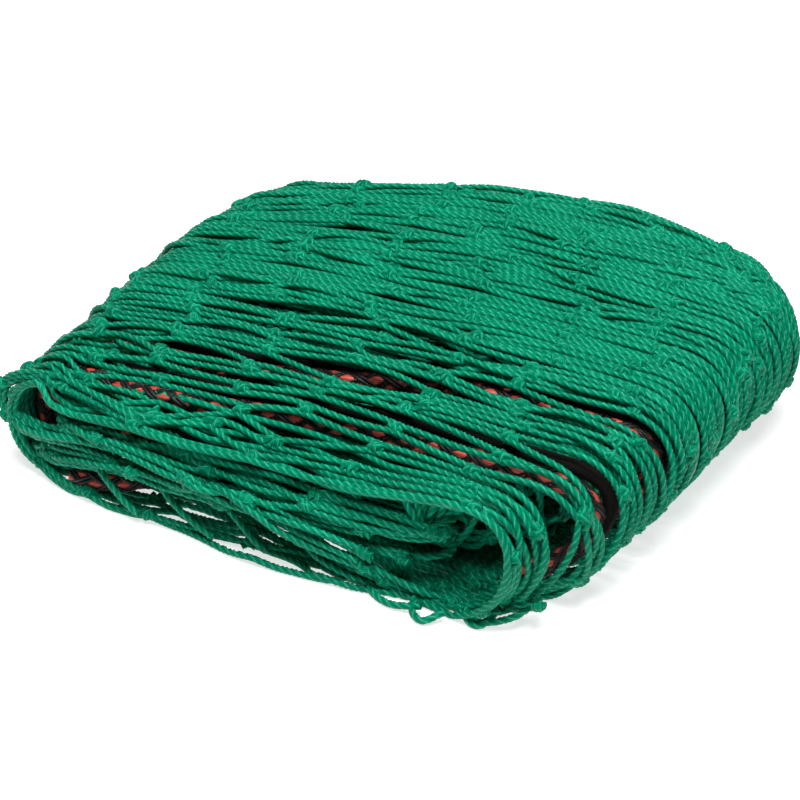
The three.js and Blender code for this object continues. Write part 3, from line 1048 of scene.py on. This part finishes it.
KNOT_SIZE = 1.04 * TWINE
KNOT_CORE = {  # the lump, in knot sizes
    "place": (-1.15, -0.7, 0, 0.7, 1.15),
    "radius": (0.30, 0.55, 0.66, 0.55, 0.30),
}
CORE_SIDES = 8
UNDER_CORE_SIDES = 6  # of knots in the bottom layer
HIDDEN_CORE_SIDES = 4
UNIT_DIAMETER = 2  # of a ring that swell brings to its size
KNOT_TURNS = (  # place along in knot sizes, turn from straight across in degrees, height in knot sizes
    (0.40, 48, 0.50),
    (-0.40, 40, 0.50),
    (0.0, -38, 0.58),
)
KNOT_REACH = 0.60  # half the width of a turn, in knot sizes
KNOT_SIZES = (0.9, 1.12)  # smallest and largest, against KNOT_SIZE
REACHES = (0.9, 1.1)  # likewise for the width and the height of a turn
HEIGHTS = (0.88, 1.1)
KNOT_ROLL = 0.5  # a knot lies rolled by up to this much round its strands, in radians
TURN_TILT = 0.25  # stray of a turn's slant, in radians
TURN_STRAY = 0.08  # stray of its place along, in knot sizes
SIDE_HINT = (0, 1e-6, 0)  # gives a knot its side where its two strands meet in one place
KNOT_LIFT = 0.0001  # knots stand proud of the strands
KNOT_FLOOR = 0.0036  # least height of a knot's middle
KNOT_ARC = np.linspace(-0.15, 1.15, 9) * np.pi  # the stretch of each turn that shows


def turned(first, second, angle):
    """Directions at an angle from one towards another."""
    return first * np.cos(angle)[:, None] + second * np.sin(angle)[:, None]


def knot_places(paths, rows, lanes_allowed):
    """Centre and axes of each knot of the given rows whose first lane is allowed."""
    last = paths.shape[1] - 1
    centres = []
    axes = []
    for row in rows:
        station = row * BAR_STEPS
        pair = pair_of(row, len(paths))
        firsts = np.flatnonzero(pair[1:] == pair[:-1])
        firsts = firsts[np.isin(firsts, lanes_allowed)]
        low = paths[firsts, station]
        high = paths[firsts + 1, station]
        ahead = min(station + 1, last)
        behind = max(station - 1, 0)
        along = unit(paths[firsts, ahead] + paths[firsts + 1, ahead]
                     - paths[firsts, behind] - paths[firsts + 1, behind])
        across = square_to(high - low + SIDE_HINT, along)
        out = np.cross(across, along)
        flip = 1 if row % 2 == 0 else -1
        roll = rng.uniform(-KNOT_ROLL, KNOT_ROLL, len(firsts))
        centre = (low + high) / 2 + KNOT_LIFT * out
        centre[:, 2] = np.maximum(centre[:, 2], KNOT_FLOOR)
        centres.append(centre)
        sideways = flip * turned(across, out, roll)
        axes.append(np.stack([flip * along, sideways, turned(out, -across, roll)], axis=1))
    return np.concatenate(centres), np.concatenate(axes)


def knot_core(centres, axes, sides, every=1):
    """The lump in the middle of each knot."""
    along, across, _ = np.moveaxis(axes, 1, 0)
    points = centres[:, None] + KNOT_SIZE * np.asarray(KNOT_CORE["place"])[::every, None] * along[:, None]
    swell = KNOT_SIZE * np.asarray(KNOT_CORE["radius"])[::every, None]
    return sweep(points, round_ring(UNIT_DIAMETER, sides), LAY, first_side=across, swell=swell)


def knot_sweeps(centres, axes):
    """Knots that show: a lump and its turns."""
    count = len(centres)
    along, across, out = np.moveaxis(axes, 1, 0)
    size = KNOT_SIZE * rng.uniform(*KNOT_SIZES, count)
    hand = rng.choice((-1, 1), count)
    made = [knot_core(centres, axes, CORE_SIDES)]
    for place, degrees, height in KNOT_TURNS:
        tilt = hand * np.radians(degrees) + rng.normal(0, TURN_TILT, count)
        shift = size * (place + rng.normal(0, TURN_STRAY, count))
        lying = turned(across, along, tilt)
        reach = size * KNOT_REACH * rng.uniform(*REACHES, count)
        rise = size * height * rng.uniform(*HEIGHTS, count)
        points = (
            (centres + shift[:, None] * along)[:, None]
            + (reach[:, None] * np.cos(KNOT_ARC))[..., None] * lying[:, None]
            + (rise[:, None] * np.sin(KNOT_ARC))[..., None] * out[:, None]
        )
        made.append(sweep(points, PLAIN_RING, LAY, first_side=along))
    return made


under_rows = range(1, right_start // BAR_STEPS)
outer_rows = range(right_start // BAR_STEPS, outer_end // BAR_STEPS + 1)
inner_rows = range(outer_end // BAR_STEPS + 1, last_station // BAR_STEPS + 1)
under_core = knot_core(*knot_places(strands, under_rows, all_lanes), UNDER_CORE_SIDES)
outer_knots = knot_sweeps(*knot_places(strands, outer_rows, all_lanes))
add_net("net_knots_outer", [under_core] + outer_knots)
hidden_knots = knot_places(strands, inner_rows, all_lanes[NEAR_LANES:])
inner_knots = [knot_core(*hidden_knots, HIDDEN_CORE_SIDES, every=2)]
inner_knots += knot_sweeps(*knot_places(strands, inner_rows, near_lanes))
for patch in patches:
    rows = range(1, patch.shape[1] // BAR_STEPS + 1)
    inner_knots += knot_sweeps(*knot_places(patch, rows, all_lanes))
add_net("net_knots_inner", inner_knots)


# Cords under the outer turn

CORD_STEPS = 280  # places along a cord
PROBE = 0.01  # share of a run between a place and its neighbours, which give its direction


def cord_path(waypoints, diameter, shift):
    controls = np.zeros((len(waypoints["run"]), 3))
    controls[:, 0] = waypoints["run"]
    controls[:, 1] = np.asarray(waypoints["y"]) + shift
    run, y, _ = refine(controls[None], CORD_STEPS // (len(controls) - 1))[0].T
    whole = np.minimum(run.astype(int), OUTER_RUNS - 1)
    t = run - whole
    points = np.empty((len(run), 3))
    for number in range(OUTER_RUNS):
        chosen = whole == number
        if not chosen.any():
            continue
        section = section_at(y[chosen])
        share = t[chosen]
        x0, z0 = middle_line(section, number, share - PROBE)
        x1, z1 = middle_line(section, number, share + PROBE)
        size = np.hypot(x1 - x0, z1 - z0)
        bend = np.sqrt(np.clip(np.sin(np.pi * share), 0, 1)) if number % 2 == 1 else 0
        depth = SHEET / 2 + CLEARANCE + FOLD_CLEARANCE * bend + diameter / 2
        x, z = middle_line(section, number, share)
        x = x - (z1 - z0) / size * depth
        z = z + (x1 - x0) / size * depth
        points[chosen] = np.stack([x, y[chosen], z], axis=1)
    return points[None]


FIBRE_DETAIL = 3
FIBRE_RELIEF = 0.6
FIBRE_TONES = (0.35, 0.65)  # noise at which fibres are dark and pale


def streaked_material(name, dark, pale, scale, roughness, shine):
    """Fibres that run along a cord, from its strand map."""
    material, tree, shader = new_material(name)
    fibres = stretched_noise(tree, strand_place(tree), scale, FIBRE_DETAIL)
    stops = tuple(zip(FIBRE_TONES, (dark, pale)))
    set_inputs(tree, shader, {
        "Base Color": ramp_between(tree, fibres, stops),
        "Normal": relief(tree, fibres, FIBRE_RELIEF),
        "Roughness": roughness,
        "Specular IOR Level": shine,
    })
    return material


ROPE_RED = streaked_material(
    "rope_red", dark=(0.22, 0.024, 0.015), pale=(0.60, 0.092, 0.060),
    scale=(34, 3, 1), roughness=0.4, shine=0.3,
)
ROPE_BLACK = streaked_material(
    "rope_black", dark=(0.003, 0.003, 0.003), pale=(0.016, 0.015, 0.014),
    scale=(26, 2, 1), roughness=0.35, shine=0.3,
)
ELASTIC_BLACK = streaked_material(
    "elastic_black", dark=(0.002, 0.002, 0.002), pale=(0.014, 0.012, 0.011),
    scale=(40, 60, 1), roughness=0.6, shine=0.10,
)

# The braided rope: cells of red filament stand out between black twisted yarns that run both ways round
BRAID_LAY = 0.0345
YARNS = 3  # pairs each way
PAIR_ANGLE = 0.50  # between the two yarns of a pair, in radians round the rope
YARN_RADIUS = 0.00095
YARN_VALLEY = 0.72  # radius between the plies of a yarn, against the one at their crests
YARN_LAY = 0.0055
YARN_PLACE = 0.425  # from the rope's middle, in diameters
YARN_WEAVE = 0.03  # and how much further out or in where yarns cross
CELL_FOOT = 0.70  # radius between the red cells, against the rope's
CELL_RISE = 0.26
ROPE_SIDES = 24
ELASTIC_SIDES = 14
YARN_SIDES = 6
YARN_RING = [
    (2 * np.pi * k / YARN_SIDES, YARN_RADIUS * (1 if k % 2 else YARN_VALLEY)) for k in range(YARN_SIDES)
]


def rope_core(path, diameter):
    turn = 2 * np.pi * arc_length(path)[..., None] / BRAID_LAY
    ring = round_ring(diameter, ROPE_SIDES)
    angle, _ = np.transpose(ring)
    one_way = (1 - np.cos(YARNS * (angle - turn))) / 2
    other_way = (1 - np.cos(YARNS * (angle + turn))) / 2
    swell = CELL_FOOT + CELL_RISE * np.sqrt(one_way * other_way)
    return sweep(path, ring, BRAID_LAY, twist=0, swell=swell)


def rope_yarns(path, diameter):
    side, up = frames_along(path, (0, 1, 0))
    turn = 2 * np.pi * arc_length(path) / BRAID_LAY
    made = []
    for hand in (1, -1):
        for k in range(2 * YARNS):
            angle = hand * turn + 2 * np.pi * (k // 2) / YARNS + PAIR_ANGLE * (k % 2 - 0.5)
            reach = diameter * (YARN_PLACE + YARN_WEAVE * hand * np.cos(YARNS * turn))
            sideways = (reach * np.cos(angle))[..., None] * side
            upward = (reach * np.sin(angle))[..., None] * up
            made.append(sweep(path + sideways + upward, YARN_RING, YARN_LAY, twist=hand))
    return made


for name, waypoints in (("near", ROPE_NEAR), ("far", ROPE_FAR)):
    rope = cord_path(waypoints, ROPE_DIAMETER, 0)
    elastic = cord_path(waypoints, ELASTIC_DIAMETER, ELASTIC_BESIDE)[:, ::2]
    elastic_tube = sweep(elastic, round_ring(ELASTIC_DIAMETER, ELASTIC_SIDES), BRAID_LAY, twist=0)
    made = (
        (f"border_rope_{name}_core", [rope_core(rope, ROPE_DIAMETER)], ROPE_RED, f"border_rope_{name}"),
        (f"border_rope_{name}_yarns", rope_yarns(rope, ROPE_DIAMETER), ROPE_BLACK, f"border_rope_{name}"),
        (f"elastic_cord_{name}_cover", [elastic_tube], ELASTIC_BLACK, f"elastic_cord_{name}"),
    )
    for piece_name, sweeps, material, node in made:
        piece = mesh_object(piece_name, sweeps, material)
        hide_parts(node)


# Short runs of the cords that show between the folds: a rope inside the left-hand loop, one on the floor
# there, one above the wall, one under the far end of the right-hand fold, and an elastic above the wall
INNER_ROPES = (
    ((-0.112, -0.0945, 0.010), (-0.117, -0.0950, 0.0145), (-0.1185, -0.0955, 0.022),
     (-0.1175, -0.0955, 0.0295), (-0.113, -0.0965, 0.034), (-0.103, -0.0985, 0.031),
     (-0.092, -0.0975, 0.029), (-0.078, -0.0960, 0.029), (-0.060, -0.0920, 0.029)),
    ((-0.092, -0.1120, 0.007), (-0.082, -0.1115, 0.007), (-0.070, -0.1070, 0.008), (-0.058, -0.1010, 0.010),
     (-0.040, -0.0950, 0.012)),
    ((-0.075, -0.1030, 0.026), (-0.046, -0.1035, 0.029), (-0.034, -0.1000, 0.030), (-0.020, -0.0930, 0.030),
     (-0.008, -0.0800, 0.030), (0.0, -0.0620, 0.030)),
    ((0.104, 0.0520, 0.0075), (0.114, 0.0600, 0.0080), (0.119, 0.0690, 0.0085), (0.1195, 0.0780, 0.0090),
     (0.114, 0.0880, 0.0085), (0.104, 0.0960, 0.0080)),
)
INNER_ELASTIC = (
    (-0.045, -0.1000, 0.0360), (-0.033, -0.1025, 0.0355), (-0.007, -0.1050, 0.0360),
    (0.007, -0.1045, 0.0370), (0.027, -0.1010, 0.0380), (0.044, -0.0995, 0.0390), (0.062, -0.0980, 0.0400),
)
INNER_STEPS = 13
inner_cores = []
inner_yarns = []
for places in INNER_ROPES:
    inner_path = refine(np.asarray(places)[None], INNER_STEPS)
    inner_cores.append(rope_core(inner_path, ROPE_DIAMETER))
    inner_yarns += rope_yarns(inner_path, ROPE_DIAMETER)
inner_path = refine(np.asarray(INNER_ELASTIC)[None], INNER_STEPS)
inner_tube = sweep(inner_path, round_ring(ELASTIC_DIAMETER, ELASTIC_SIDES), BRAID_LAY, twist=0)
for piece_name, sweeps, material, slot in (
    ("inner_rope_cores", inner_cores, ROPE_RED, "braided_rope"),
    ("inner_rope_yarns", inner_yarns, ROPE_BLACK, "braided_rope"),
    ("inner_elastic", [inner_tube], ELASTIC_BLACK, "elastic_cord"),
):
    mesh_object(piece_name, sweeps, material)


# Floor and light

FLOOR_SIZE = 4.0  # from the middle to a side
FLOOR_GREY = 0.55
FLOOR_ROUGHNESS = 0.8
FLOOR_GLOW = 0.68
WHITE = (1, 1, 1, 1)
WORLD_STRENGTH = 0.20
LIGHT_PLACE = Vector((0.25, -0.35, 1.55))
LIGHT_SIZE = 1.1
LIGHT_POWER = 40  # watts


def pale_floor():
    material, tree, shader = new_material("pale_floor")
    set_inputs(tree, shader, {
        "Base Color": (FLOOR_GREY, FLOOR_GREY, FLOOR_GREY, 1),
        "Roughness": FLOOR_ROUGHNESS,
        "Emission Color": WHITE,
        "Emission Strength": FLOOR_GLOW,
    })
    return material


def make_floor():
    mesh = bpy.data.meshes.new("floor")
    corners = [(FLOOR_SIZE * x, FLOOR_SIZE * y, 0) for x, y in ((-1, -1), (1, -1), (1, 1), (-1, 1))]
    mesh.from_pydata(corners, [], [(0, 1, 2, 3)])
    mesh.materials.append(pale_floor())
    floor = bpy.data.objects.new("floor", mesh)
    bpy.context.collection.objects.link(floor)


def make_world():
    world = bpy.data.worlds.new("studio")
    world.use_nodes = True
    background = world.node_tree.nodes["Background"]
    set_inputs(world.node_tree, background, {"Color": WHITE, "Strength": WORLD_STRENGTH})
    bpy.context.scene.world = world


def make_light():
    data = bpy.data.lights.new("top_light", "AREA")
    data.shape = "DISK"
    data.size = LIGHT_SIZE
    data.energy = LIGHT_POWER
    light = bpy.data.objects.new("top_light", data)
    light.location = LIGHT_PLACE
    light.rotation_euler = (-LIGHT_PLACE).to_track_quat("-Z", "Y").to_euler()
    bpy.context.collection.objects.link(light)


make_floor()
make_world()
make_light()
bpy.context.scene.view_settings.view_transform = "Standard"
